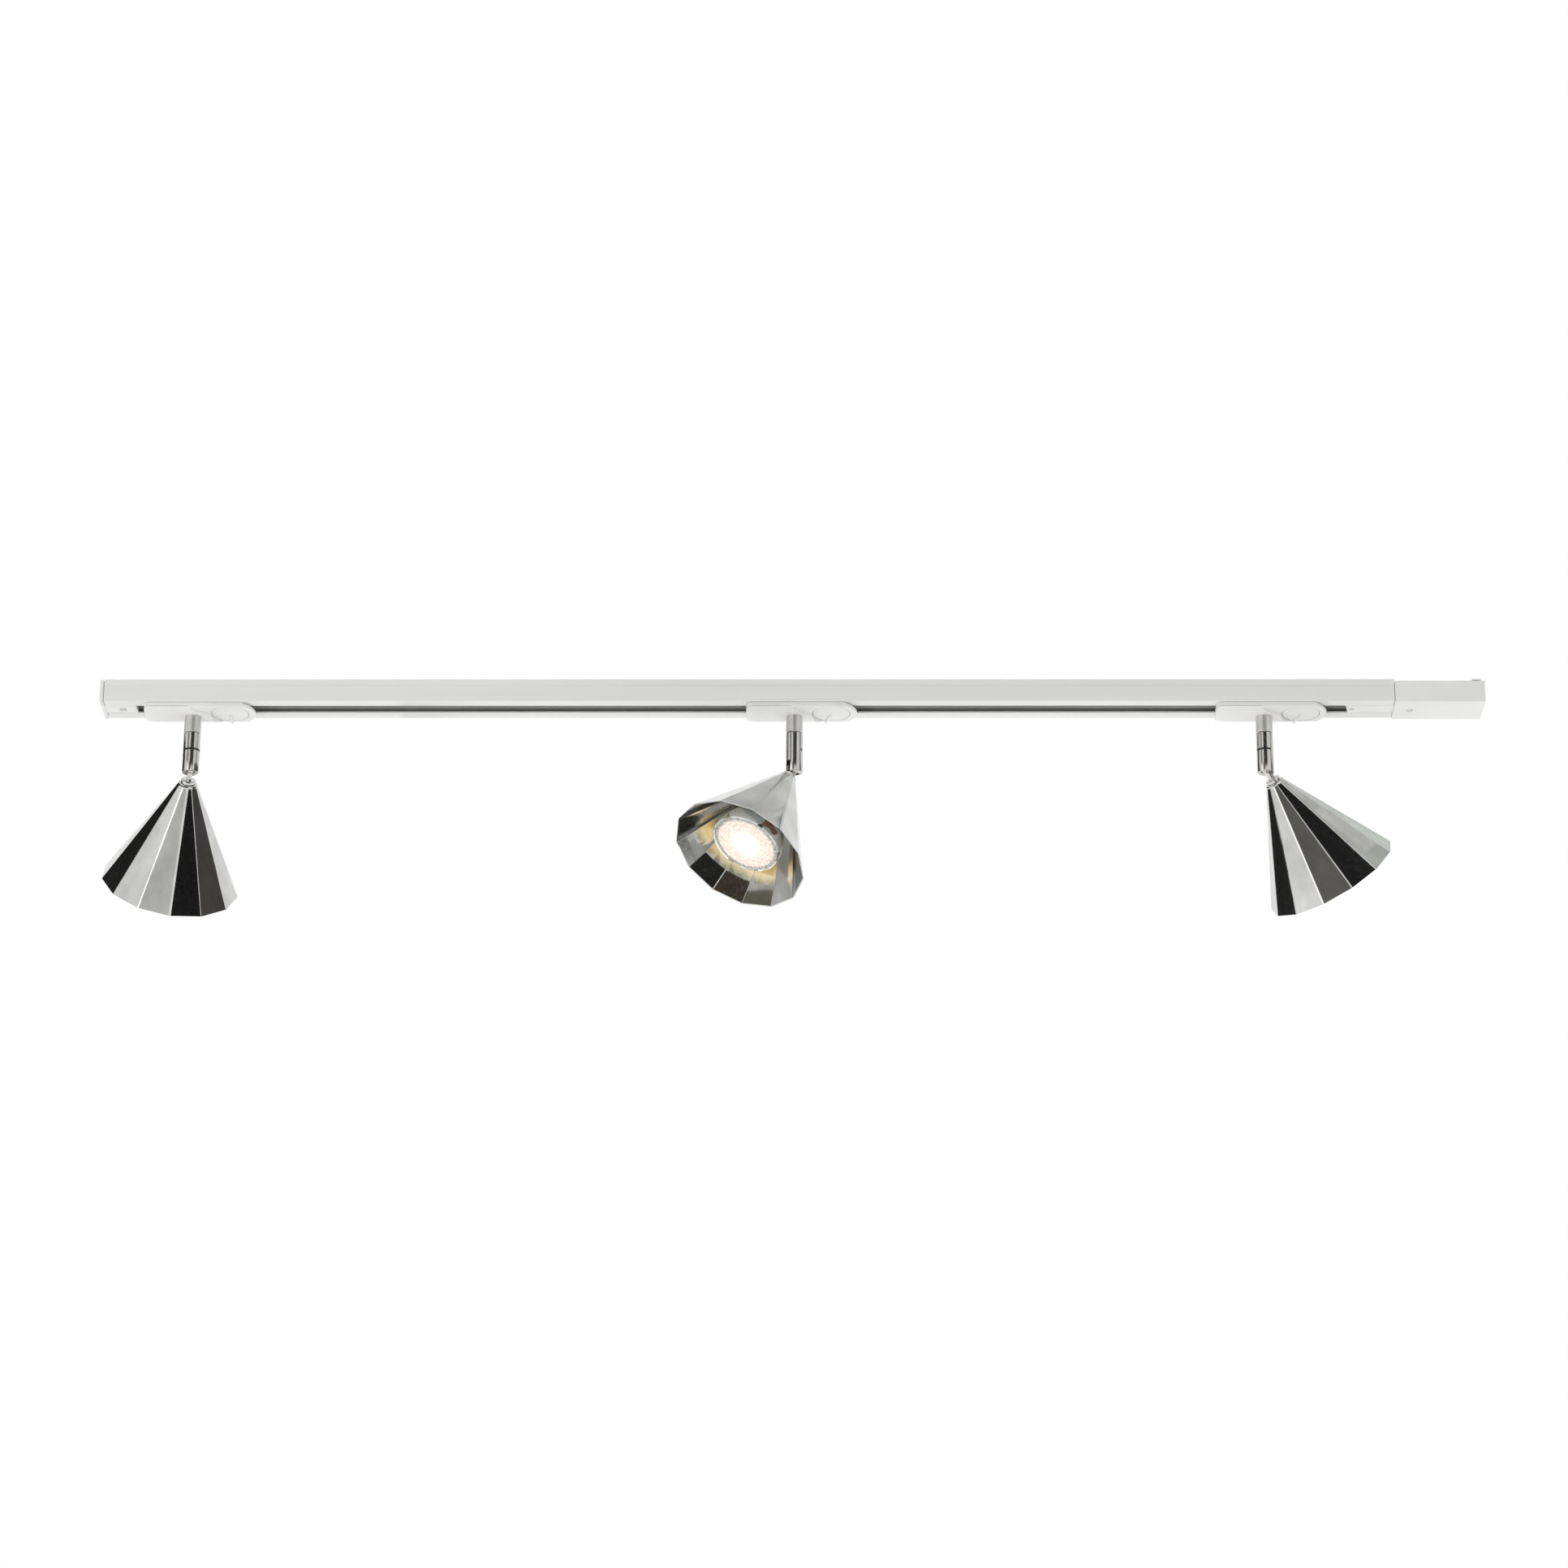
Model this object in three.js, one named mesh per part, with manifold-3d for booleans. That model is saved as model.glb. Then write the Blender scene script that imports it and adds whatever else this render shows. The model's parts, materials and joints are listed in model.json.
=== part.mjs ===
// Track lighting set: a one-metre ceiling track with an end cap, a power feed and three swivelling
// spots with thirteen-sided metal shades. Millimetres. +X runs along the track to the power feed,
// +Y away from the side that is looked at, +Z up. The origin is the centre of the track's top face,
// which is screwed to the ceiling.
import * as THREE from "three";
import { mergeVertices } from "three/addons/utils/BufferGeometryUtils.js";
import Module from "manifold-3d";

const wasm = await Module();
wasm.setup();

// Track
const TRACK_LENGTH = 1000;
const TRACK_WIDTH = 35;
const TRACK_HEIGHT = 18.2;
const WALL = 1.6;
const TOP_WEB = 1.8;
const SLOT_WIDTH = 14.5;
const CEILING_SLOT_X = [-400, -125, 125, 400];

// Spots: where each stem hangs, how far its lever is turned past square, and how its head is turned,
// tipped and spun on its neck, all in degrees
const SPOTS = [
  { name: "left", x: -432, lever: 0, pan: 16.9, tilt: 47.9, spin: 16.6 },
  { name: "middle", x: 36, lever: 15, pan: 133.4, tilt: 33.1, spin: 5.6 },
  { name: "right", x: 400, lever: 15, pan: -45.3, tilt: 46.7, spin: 14.1 },
];

// Adapter, measured from the stem's axis
const ADAPTER_HALF_WIDTH = 15.5;
const ADAPTER_LEFT = -37.4;
const DIAL_X = 28.6;
const DIAL_RADIUS = 14.2;
const ADAPTER_END_RADIUS = 20;
const PLATE_TOP = -TRACK_HEIGHT - 0.3;
const PLATE_BOTTOM = PLATE_TOP - 1.9;
const RIM_BOTTOM = PLATE_BOTTOM - 1.6;
const LOBE_BOTTOM = PLATE_BOTTOM - 4.5;
const LOBE_FLAT = 8;
const KEY_HALF_WIDTH = 6.9;
const KEY_TOP = -4;
const BLADE_Z = -8.9;
const GRIP_BOTTOM = PLATE_BOTTOM - 2.9;

// Stem
const STEM_RADIUS = 6.5;
const COLLAR_TOP = LOBE_BOTTOM - 0.2;
const COLLAR_BOTTOM = -38.8;
const TUBE_TOP = -39.2;
const TUBE_BOTTOM = -71.5;
const SPIGOT_RADIUS = 4.7;
const CLIP_Z = -53.3;
const PIVOT_Z = -67.3;
const FORK_GAP = 4.2;

// Head, measured from the hinge pin along the shade's axis
const FACETS = 13;
const SHADE_RIM_RADIUS = 53.65;
const SHADE_RIM_Z = -102.4;
const SHADE_TOP_Z = -12.7;
const SHADE_WALL = 1.35;
const SHOULDER = { radius: 7.9, z: -14.6 };
const SHANK_RADIUS = 4.8;
const HOLDER_BOTTOM = -39.5;
const BULB_RADIUS = 27.3;
const BULB_FRONT = -91;

const ROUND = 16;
const deg = THREE.MathUtils.degToRad;

const paint = {
  whiteAluminium: new THREE.MeshStandardMaterial({ color: 0xe9e9e8, roughness: 0.45 }),
  whitePlastic: new THREE.MeshStandardMaterial({ color: 0xf1f1f0, roughness: 0.4 }),
  darkPlastic: new THREE.MeshStandardMaterial({ color: 0x2b2b2c, roughness: 0.6 }),
  copper: new THREE.MeshStandardMaterial({ color: 0xb9744a, roughness: 0.35, metalness: 1 }),
  brass: new THREE.MeshStandardMaterial({ color: 0xb89a55, roughness: 0.35, metalness: 1 }),
  nickel: new THREE.MeshStandardMaterial({ color: 0xb9b8b4, roughness: 0.28, metalness: 1 }),
  polished: new THREE.MeshStandardMaterial({ color: 0xc6c6c2, roughness: 0.2, metalness: 1 }),
  darkSteel: new THREE.MeshStandardMaterial({ color: 0x3a3a3a, roughness: 0.4, metalness: 1 }),
  ceramic: new THREE.MeshStandardMaterial({ color: 0xe6e2d8, roughness: 0.5 }),
  lens: new THREE.MeshStandardMaterial({ color: 0xfff1e2, roughness: 0.25 }),
};

// Joining and cutting

function solidOf(geometry) {
  const bare = new THREE.BufferGeometry();
  const flat = geometry.index ? geometry.toNonIndexed() : geometry;
  bare.setAttribute("position", flat.getAttribute("position"));
  const merged = mergeVertices(bare, 1e-3);
  const triVerts = new Uint32Array(merged.index.array);
  const vertProperties = merged.attributes.position.array;
  const made = new wasm.Manifold(new wasm.Mesh({ numProp: 3, vertProperties, triVerts }));
  if (made.volume() >= 0) return made;
  for (let i = 0; i < triVerts.length; i += 3)
    [triVerts[i + 1], triVerts[i + 2]] = [triVerts[i + 2], triVerts[i + 1]];
  return new wasm.Manifold(new wasm.Mesh({ numProp: 3, vertProperties, triVerts }));
}

function geometryOf(solid) {
  const mesh = solid.getMesh();
  const geometry = new THREE.BufferGeometry();
  geometry.setAttribute("position", new THREE.BufferAttribute(mesh.vertProperties, 3));
  geometry.setIndex(new THREE.BufferAttribute(mesh.triVerts, 1));
  geometry.computeVertexNormals();
  return geometry;
}

const join = (first, ...others) =>
  geometryOf(others.reduce((sum, g) => sum.add(solidOf(g)), solidOf(first)));
const cut = (first, ...others) =>
  geometryOf(others.reduce((rest, g) => rest.subtract(solidOf(g)), solidOf(first)));
const common = (a, b) => geometryOf(solidOf(a).intersect(solidOf(b)));

// Plain shapes

function block(x, y, z) {
  const box = new THREE.BoxGeometry(x[1] - x[0], y[1] - y[0], z[1] - z[0]);
  return box.translate((x[0] + x[1]) / 2, (y[0] + y[1]) / 2, (z[0] + z[1]) / 2);
}

// A profile of [radius, z] points turned about the Z axis.
function turned(profile, segments = ROUND) {
  const points = profile.map(([radius, z]) => new THREE.Vector2(radius, z));
  return geometryOf(solidOf(new THREE.LatheGeometry(points, segments).rotateX(Math.PI / 2)));
}

const upright = (radius, z, segments = ROUND) =>
  turned([[0, z[0]], [radius, z[0]], [radius, z[1]], [0, z[1]]], segments);

const crosswise = (radius, x, centreZ, segments = 12) =>
  upright(radius, x, segments).rotateY(Math.PI / 2).translate(0, 0, centreZ);

function slab(shape, z) {
  const depth = z[1] - z[0];
  return new THREE.ExtrudeGeometry(shape, { depth, bevelEnabled: false, curveSegments: 6 })
    .translate(0, 0, z[0]);
}

const outline = (points) => new THREE.Shape(points.map(([x, y]) => new THREE.Vector2(x, y)));

// A section of [y, z] points drawn along the track.
function drawn(points, x) {
  const depth = x[1] - x[0];
  const geometry = new THREE.ExtrudeGeometry(outline(points), { depth, bevelEnabled: false });
  const turn = new THREE.Matrix4().makeBasis(
    new THREE.Vector3(0, 1, 0),
    new THREE.Vector3(0, 0, 1),
    new THREE.Vector3(1, 0, 0),
  );
  return geometry.applyMatrix4(turn).translate(x[0], 0, 0);
}

// Part of a ring between two radii and two angles in degrees.
function ringPart(inner, outer, from, to, z) {
  const shape = new THREE.Shape();
  shape.absarc(0, 0, outer, deg(from), deg(to), false);
  shape.absarc(0, 0, inner, deg(to), deg(from), true);
  return slab(shape, z);
}

function piece(name, geometry, material) {
  const mesh = new THREE.Mesh(geometry, material);
  mesh.name = name;
  return mesh;
}

function at(parent, x, y, z) {
  const group = new THREE.Group();
  group.position.set(x, y, z);
  parent.add(group);
  return group;
}

// Track: an open aluminium channel that holds an insulating strip and a copper conductor on each side

function trackSection() {
  const w = TRACK_WIDTH / 2;
  const s = SLOT_WIDTH / 2;
  const lip = -TRACK_HEIGHT + WALL;
  return [
    [-s, -TRACK_HEIGHT], [-w, -TRACK_HEIGHT], [-w, 0], [w, 0], [w, -TRACK_HEIGHT], [s, -TRACK_HEIGHT],
    [s, lip], [w - WALL, lip], [w - WALL, -TOP_WEB], [-w + WALL, -TOP_WEB], [-w + WALL, lip], [-s, lip],
  ];
}

function ceilingSlot(x) {
  const half = 4;
  const radius = 2.5;
  const shape = new THREE.Shape();
  shape.absarc(half, 0, radius, -Math.PI / 2, Math.PI / 2, false);
  shape.absarc(-half, 0, radius, Math.PI / 2, (3 * Math.PI) / 2, false);
  return slab(shape, [-TOP_WEB - 1, 1]).translate(x, 0, 0);
}

const CARRIER = {
  inner: 8.1, outer: 15.7, top: -2, bottom: -13.2,
  pocket: 15, grooveTop: -6, grooveBottom: -11.5,
};

const carrierSection = (side) =>
  [
    [CARRIER.inner, CARRIER.bottom], [CARRIER.outer, CARRIER.bottom], [CARRIER.outer, CARRIER.top],
    [CARRIER.inner, CARRIER.top], [CARRIER.inner, CARRIER.grooveTop], [CARRIER.pocket, CARRIER.grooveTop],
    [CARRIER.pocket, CARRIER.grooveBottom], [CARRIER.inner, CARRIER.grooveBottom],
  ].map(([y, z]) => [y * side, z]);

function addTrack(root) {
  const end = TRACK_LENGTH / 2;
  const channel = drawn(trackSection(), [-end, end]);
  const profile = cut(channel, ...CEILING_SLOT_X.map(ceilingSlot));
  root.add(piece("track_profile", profile, paint.whiteAluminium));
  for (const [label, side] of [["front", -1], ["back", 1]]) {
    const carrier = geometryOf(solidOf(drawn(carrierSection(side), [-end + 1, end - 1])));
    root.add(piece("insulator_" + label, carrier, paint.darkPlastic));
    const strip = [13.6 * side, 14.8 * side].sort((a, b) => a - b);
    const conductor = block([-end + 4, end - 4], strip, [-9.9, -7.6]);
    root.add(piece("conductor_" + label, conductor, paint.copper));
  }
}

// A flat-headed screw whose head is flush with z, driven upwards, and the hole that takes it
const screw = (x, z, head, shank, length) =>
  turned([[0, z], [head, z], [head, z + 0.7], [shank, z + 1.7], [shank, z + length], [0, z + length]], 12)
    .translate(x, 0, 0);
const screwHole = (x, z, head, shank, length) =>
  turned([[0, z - 1], [head + 0.3, z - 1], [head + 0.3, z + 0.9], [shank + 0.3, z + 2],
    [shank + 0.3, z + length + 0.5], [0, z + length + 0.5]], 12).translate(x, 0, 0);

// The tongue that closes the slot at each end of the track
const tongue = (x) => block(x, [-KEY_HALF_WIDTH, KEY_HALF_WIDTH], [-TRACK_HEIGHT + 0.1, -12]);
const SCREW_FACE = -TRACK_HEIGHT + 0.1;

function addEndCap(root) {
  const end = -TRACK_LENGTH / 2;
  const screwX = end + 13;
  const flange = block([end - 3.4, end - 0.05], [-17.8, 17.8], [-18.8, -0.2]);
  const cap = cut(join(flange, tongue([end - 0.5, end + 24])), screwHole(screwX, SCREW_FACE, 2.4, 1.4, 5.5));
  root.add(piece("end_cap", cap, paint.whitePlastic));
  root.add(piece("end_cap_screw", screw(screwX, SCREW_FACE, 2.4, 1.4, 5.5), paint.nickel));
}

// Power feed: a shell under a base plate, with the terminal block and two blades between them
const FEED = { start: TRACK_LENGTH / 2 + 0.4, end: 570, half: 17.8, top: -1.2, bottom: -19.2, wall: 1.6 };

function addFeed(root) {
  const { start, end, half, top, bottom, wall } = FEED;
  const inside = half - wall;
  const coverScrewX = start + 12.6;
  const tongueScrewX = TRACK_LENGTH / 2 - 31.6;
  const shell = cut(
    block([start, end], [-half, half], [bottom, top]),
    block([start + wall, end - wall], [-inside, inside], [bottom + wall, top + 1]),
    block([start - 1, start + wall + 1], [-15, 15], [-13, top + 1]),
  );
  const boss = upright(4.6, [bottom + 1, -13.5]).translate(coverScrewX, 0, 0);
  const cover = cut(
    join(shell, tongue([TRACK_LENGTH / 2 - 37, start + 1]), boss),
    screwHole(coverScrewX, bottom, 2.4, 1.4, 12),
    screwHole(tongueScrewX, SCREW_FACE, 1.6, 1, 4.5),
  );
  root.add(piece("feed_cover", cover, paint.whitePlastic));
  root.add(piece("feed_cover_screw", screw(coverScrewX, bottom, 2.4, 1.4, 11), paint.nickel));
  root.add(piece("feed_tongue_screw", screw(tongueScrewX, SCREW_FACE, 1.6, 1, 4.5), paint.nickel));

  const plateX = [start + wall + 0.3, end - wall - 0.3];
  const plate = join(
    block(plateX, [-inside + 0.3, inside - 0.3], [-3.2, top]),
    block([end - 10, end - 3], [-inside + 0.3, inside - 0.3], [top - 0.5, 0]),
    block([end - 10, end - 3], [-half, half], [top + 0.3, 0]),
    upright(3.2, [-13.2, -3], 16).translate(coverScrewX, 0, 0),
  );
  const cableHole = upright(5.5, [-4, 1]).translate(end - 17, 0, 0);
  const base = cut(plate, cableHole, upright(1.7, [-14, -5]).translate(coverScrewX, 0, 0));
  root.add(piece("feed_base", base, paint.whitePlastic));

  const blockX = [start + 22, start + 38];
  const ports = [-8, 0, 8].map((y) => block([blockX[1] - 7, blockX[1] + 1], [y - 2, y + 2], [-11, -7]));
  const terminals = cut(block(blockX, [-12, 12], [-14, -3.5]), ...ports);
  root.add(piece("terminal_block", terminals, paint.ceramic));
  for (const [label, side] of [["front", -1], ["back", 1]]) {
    const y = [12.3 * side, 13.2 * side].sort((a, b) => a - b);
    const blade = block([TRACK_LENGTH / 2 - 15, blockX[1] - 4], y, [-10, -7.6]);
    root.add(piece("feed_blade_" + label, blade, paint.brass));
  }
}

// Adapter: a shell under the track with a key in its slot, and a lever that turns a locking cam

function adapterOutline() {
  const w = ADAPTER_HALF_WIDTH;
  const swing = Math.asin(w / ADAPTER_END_RADIUS);
  const shape = new THREE.Shape();
  shape.moveTo(-31, -w);
  shape.absarc(DIAL_X, 0, ADAPTER_END_RADIUS, -swing, swing, false);
  shape.lineTo(-31, w);
  shape.quadraticCurveTo(ADAPTER_LEFT + 0.8, w - 1, ADAPTER_LEFT, 6);
  shape.lineTo(ADAPTER_LEFT, -6);
  shape.quadraticCurveTo(ADAPTER_LEFT + 0.8, -w + 1, -31, -w);
  return shape;
}

// The thin end of the adapter: the thick lobe round the stem stops at an S-shaped step, which starts at the
// stem's near side and runs on round the dial's far side
function lobeClearing() {
  const radius = DIAL_RADIUS + 0.6;
  const shape = new THREE.Shape();
  shape.moveTo(-3, -17);
  shape.bezierCurveTo(1, -8, 9, -6, DIAL_X - radius, 0);
  shape.absarc(DIAL_X, 0, radius, deg(180), deg(119), true);
  for (const [x, y] of [[20.5, 17], [60, 17], [60, -17]]) shape.lineTo(x, y);
  return shape;
}

function adapterHousing() {
  const w = KEY_HALF_WIDTH;
  const domed = drawn([
    [-ADAPTER_HALF_WIDTH, PLATE_BOTTOM + 0.1], [-ADAPTER_HALF_WIDTH, PLATE_BOTTOM - 1.2],
    [-LOBE_FLAT, LOBE_BOTTOM], [LOBE_FLAT, LOBE_BOTTOM],
    [ADAPTER_HALF_WIDTH, PLATE_BOTTOM - 1.2], [ADAPTER_HALF_WIDTH, PLATE_BOTTOM + 0.1],
  ], [ADAPTER_LEFT, 30]);
  const below = slab(adapterOutline(), [LOBE_BOTTOM - 1, PLATE_BOTTOM + 0.1]);
  const dialPocket = upright(DIAL_RADIUS + 0.6, [LOBE_BOTTOM - 1, PLATE_BOTTOM], 48).translate(DIAL_X, 0, 0);
  const lobe = cut(common(domed, below), slab(lobeClearing(), [LOBE_BOTTOM - 5, PLATE_BOTTOM + 1]));
  const rim = cut(slab(adapterOutline(), [RIM_BOTTOM, PLATE_BOTTOM + 0.1]), dialPocket);
  const key = block([-30, 12], [-w, w], [PLATE_TOP - 0.5, KEY_TOP]);
  const hook = block([-29, -20], [-12, -w + 1], [-15.9, -13.7]);
  const shell = join(slab(adapterOutline(), [PLATE_BOTTOM, PLATE_TOP]), rim, lobe, key, hook);
  const stemSocket = upright(5.3, [LOBE_BOTTOM - 1, -12]);
  const camHole = upright(7, [PLATE_BOTTOM - 1, PLATE_TOP + 1]).translate(DIAL_X, 0, 0);
  return cut(shell, stemSocket, camHole);
}

// The lever's dial, its grip bar, and the cam on its shaft, with ears that catch the track's lips and a
// pocket for each contact blade
function lockLever() {
  const dial = upright(DIAL_RADIUS, [RIM_BOTTOM, PLATE_BOTTOM - 0.3], 24);
  const bar = block([-0.9, 0.9], [3, DIAL_RADIUS - 0.5], [GRIP_BOTTOM, PLATE_BOTTOM - 1]);
  const grip = block([-0.9, 0.9], [DIAL_RADIUS - 1, 17.2], [GRIP_BOTTOM, RIM_BOTTOM - 0.35]);
  const shaft = upright(6.6, [PLATE_BOTTOM - 0.5, KEY_TOP - 0.5]);
  const ears = block([-3, 3], [-11.5, 11.5], [-15.9, -13.7]);
  const pockets = [-1, 1].map((side) => {
    const y = [1.7 * side, 7 * side].sort((a, b) => a - b);
    return block([-2.3, 2.3], y, [BLADE_Z - 0.8, BLADE_Z + 0.8]);
  });
  return cut(join(dial, bar, grip, shaft, ears), ...pockets);
}

function contactBlade(side) {
  const y = [2 * side, 13.3 * side].sort((a, b) => a - b);
  return block([-2, 2], y, [BLADE_Z - 0.5, BLADE_Z + 0.5]);
}

// Stem: a fixed collar whose spigot carries the tube that swivels, held by a clip in a slot in its side

function stemCollar() {
  const bore = 2;
  return turned([
    [bore, -13], [5, -13], [5, COLLAR_TOP], [STEM_RADIUS, COLLAR_TOP], [STEM_RADIUS, COLLAR_BOTTOM],
    [SPIGOT_RADIUS, COLLAR_BOTTOM], [SPIGOT_RADIUS, CLIP_Z + 1.1], [3.6, CLIP_Z + 1.1], [3.6, CLIP_Z - 1.1],
    [SPIGOT_RADIUS, CLIP_Z - 1.1], [SPIGOT_RADIUS, -57.5], [bore, -57.5], [bore, -13],
  ]);
}

// The tube's fork is open below and on the side that the head tips to, and its clip slot is on the other side
function stemTube() {
  const bore = SPIGOT_RADIUS + 0.35;
  const body = turned([
    [bore, TUBE_TOP], [STEM_RADIUS, TUBE_TOP], [STEM_RADIUS, TUBE_BOTTOM + 0.7],
    [STEM_RADIUS - 0.7, TUBE_BOTTOM], [2, TUBE_BOTTOM], [2, -59], [bore, -59], [bore, TUBE_TOP],
  ]);
  const fork = block([-FORK_GAP / 2, FORK_GAP / 2], [-4.7, 8], [TUBE_BOTTOM - 1, PIVOT_Z + 4.9]);
  const pinHole = crosswise(1.6, [-8, 8], PIVOT_Z);
  const clipSlot = ringPart(4, 8, -90 - 86, -90 + 86, [CLIP_Z - 0.8, CLIP_Z + 0.8]);
  return cut(body, fork, pinHole, clipSlot);
}

const swivelClip = () => ringPart(3.9, 6.2, -90 - 80, -90 + 80, [CLIP_Z - 0.6, CLIP_Z + 0.6]);

// Head: everything that tips on the hinge pin, with the pin's axis as its origin

function hingeTongue() {
  const eye = crosswise(4.3, [-1.8, 1.8], 0, ROUND);
  const neck = block([-1.8, 1.8], [-2.6, 2.6], [-10, -3]);
  const flangeTop = SHADE_TOP_Z + 2.9;
  const flange = upright(5.8, [SHADE_TOP_Z + 0.3, flangeTop]);
  const shank = upright(SHANK_RADIUS, [-26, SHADE_TOP_Z + 0.5]);
  return cut(join(eye, neck, flange, shank), crosswise(1.7, [-3, 3], 0));
}

function shade() {
  const innerTop = { radius: 7.45, z: -16.2 };
  return turned([
    [SHADE_RIM_RADIUS, SHADE_RIM_Z], [SHOULDER.radius, SHOULDER.z], [6.3, SHADE_TOP_Z], [5.2, SHADE_TOP_Z],
    [5.2, innerTop.z], [innerTop.radius, innerTop.z], [SHADE_RIM_RADIUS - SHADE_WALL, SHADE_RIM_Z],
    [SHADE_RIM_RADIUS, SHADE_RIM_Z],
  ], FACETS);
}

const shadeNut = () => cut(upright(6.9, [-20, -16.5], 6), upright(5.15, [-21, -16]));

// The bulb's two pins lie in curved slots, so that it can be twisted free.
const PIN = { radius: 2.4, offset: 5, top: -32.5 };
const TWIST_SLOT = { from: -55, to: 33, inner: 2, outer: 8 };

function lampHolder() {
  const body = turned([
    [0, -27], [5.15, -27], [5.15, -23.5], [9.8, -23.5], [13.5, -31], [13.5, HOLDER_BOTTOM],
    [0, HOLDER_BOTTOM],
  ]);
  const slots = [0, 180].map((turn) =>
    ringPart(TWIST_SLOT.inner, TWIST_SLOT.outer, TWIST_SLOT.from + turn, TWIST_SLOT.to + turn,
      [HOLDER_BOTTOM - 1, PIN.top + 1]));
  return cut(body, ...slots);
}

function bulbBase() {
  const pins = [-1, 1].map((side) =>
    upright(PIN.radius, [HOLDER_BOTTOM - 1, PIN.top], 12).translate(side * PIN.offset, 0, 0));
  return join(upright(12.6, [-50, HOLDER_BOTTOM - 0.4]), ...pins);
}

const bulbBody = () =>
  turned([
    [0, -50.3], [13, -50.3], [18, -58], [24, -74], [BULB_RADIUS, -84.5], [BULB_RADIUS, BULB_FRONT],
    [BULB_RADIUS - 1.7, BULB_FRONT], [BULB_RADIUS - 1.7, BULB_FRONT + 2.4], [0, BULB_FRONT + 2.4],
  ], 24);

const bulbLens = () =>
  turned([[0, BULB_FRONT + 2.1], [BULB_RADIUS - 2, BULB_FRONT + 2.1], [BULB_RADIUS - 2, BULB_FRONT + 0.8],
    [BULB_RADIUS - 6, BULB_FRONT + 0.3], [0, BULB_FRONT + 0.3]], 24);

function addSpot(root, spot) {
  const named = (label) => spot.name + "_" + label;
  const adapter = at(root, spot.x, 0, 0);
  adapter.add(piece(named("adapter_housing"), adapterHousing(), paint.whitePlastic));
  adapter.add(piece(named("stem_collar"), stemCollar(), paint.nickel));

  const lever = at(adapter, DIAL_X, 0, 0);
  lever.rotation.z = deg(spot.lever);
  lever.add(piece(named("lock_lever"), lockLever(), paint.whitePlastic));
  lever.add(piece(named("live_contact"), contactBlade(-1), paint.brass));
  lever.add(piece(named("neutral_contact"), contactBlade(1), paint.brass));

  const swivel = at(adapter, 0, 0, 0);
  swivel.rotation.z = deg(spot.pan);
  swivel.add(piece(named("stem_tube"), stemTube(), paint.nickel));
  swivel.add(piece(named("swivel_clip"), swivelClip(), paint.darkSteel));
  swivel.add(piece(named("hinge_pin"), crosswise(1.4, [-6.1, 6.1], PIVOT_Z), paint.darkSteel));

  const head = at(swivel, 0, 0, PIVOT_Z);
  head.rotation.x = deg(spot.tilt);
  const shell = piece(named("shade"), shade(), paint.polished);
  shell.rotation.z = deg(spot.spin);
  head.add(shell);
  head.add(piece(named("hinge_tongue"), hingeTongue(), paint.polished));
  head.add(piece(named("shade_nut"), shadeNut(), paint.nickel));
  head.add(piece(named("lamp_holder"), lampHolder(), paint.ceramic));
  head.add(piece(named("bulb_base"), bulbBase(), paint.ceramic));
  head.add(piece(named("bulb_body"), bulbBody(), paint.polished));
  head.add(piece(named("bulb_lens"), bulbLens(), paint.lens));
}

const lightingTrack = new THREE.Group();
addTrack(lightingTrack);
addEndCap(lightingTrack);
addFeed(lightingTrack);
for (const spot of SPOTS) addSpot(lightingTrack, spot);

export default lightingTrack;
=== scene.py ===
import json
import math

import bmesh
import bpy
from mathutils import Matrix, Vector


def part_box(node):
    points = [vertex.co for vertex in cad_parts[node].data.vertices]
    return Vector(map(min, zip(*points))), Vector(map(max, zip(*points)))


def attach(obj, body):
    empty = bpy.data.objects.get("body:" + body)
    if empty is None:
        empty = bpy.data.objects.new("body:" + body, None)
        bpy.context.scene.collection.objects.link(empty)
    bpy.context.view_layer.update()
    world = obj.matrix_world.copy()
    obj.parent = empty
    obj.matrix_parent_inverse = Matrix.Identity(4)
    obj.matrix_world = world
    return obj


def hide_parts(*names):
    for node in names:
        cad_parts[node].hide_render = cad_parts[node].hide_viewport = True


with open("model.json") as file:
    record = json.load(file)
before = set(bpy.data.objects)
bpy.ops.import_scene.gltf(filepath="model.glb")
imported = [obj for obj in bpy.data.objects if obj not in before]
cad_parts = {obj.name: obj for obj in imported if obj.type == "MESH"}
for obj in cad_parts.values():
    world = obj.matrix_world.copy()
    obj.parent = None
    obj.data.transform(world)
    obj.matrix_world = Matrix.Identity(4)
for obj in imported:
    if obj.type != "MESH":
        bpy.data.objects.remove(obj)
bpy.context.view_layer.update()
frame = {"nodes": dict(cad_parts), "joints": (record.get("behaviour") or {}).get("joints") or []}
nodes = frame["nodes"]
MM = 0.001


# ---------------------------------------------------------------------------------------------------
# The track is a one-metre extruded aluminium channel, powder coated satin white. Its underside is open
# along a slot between two lips, and its top face is screwed to the ceiling through four slotted holes.

def finish(name, colour, roughness, metallic=0.0):
    material = bpy.data.materials.new(name)
    material.use_nodes = True
    surface = material.node_tree.nodes["Principled BSDF"]
    surface.inputs["Base Color"].default_value = (*colour, 1)
    surface.inputs["Roughness"].default_value = roughness
    surface.inputs["Metallic"].default_value = metallic
    return material


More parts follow.
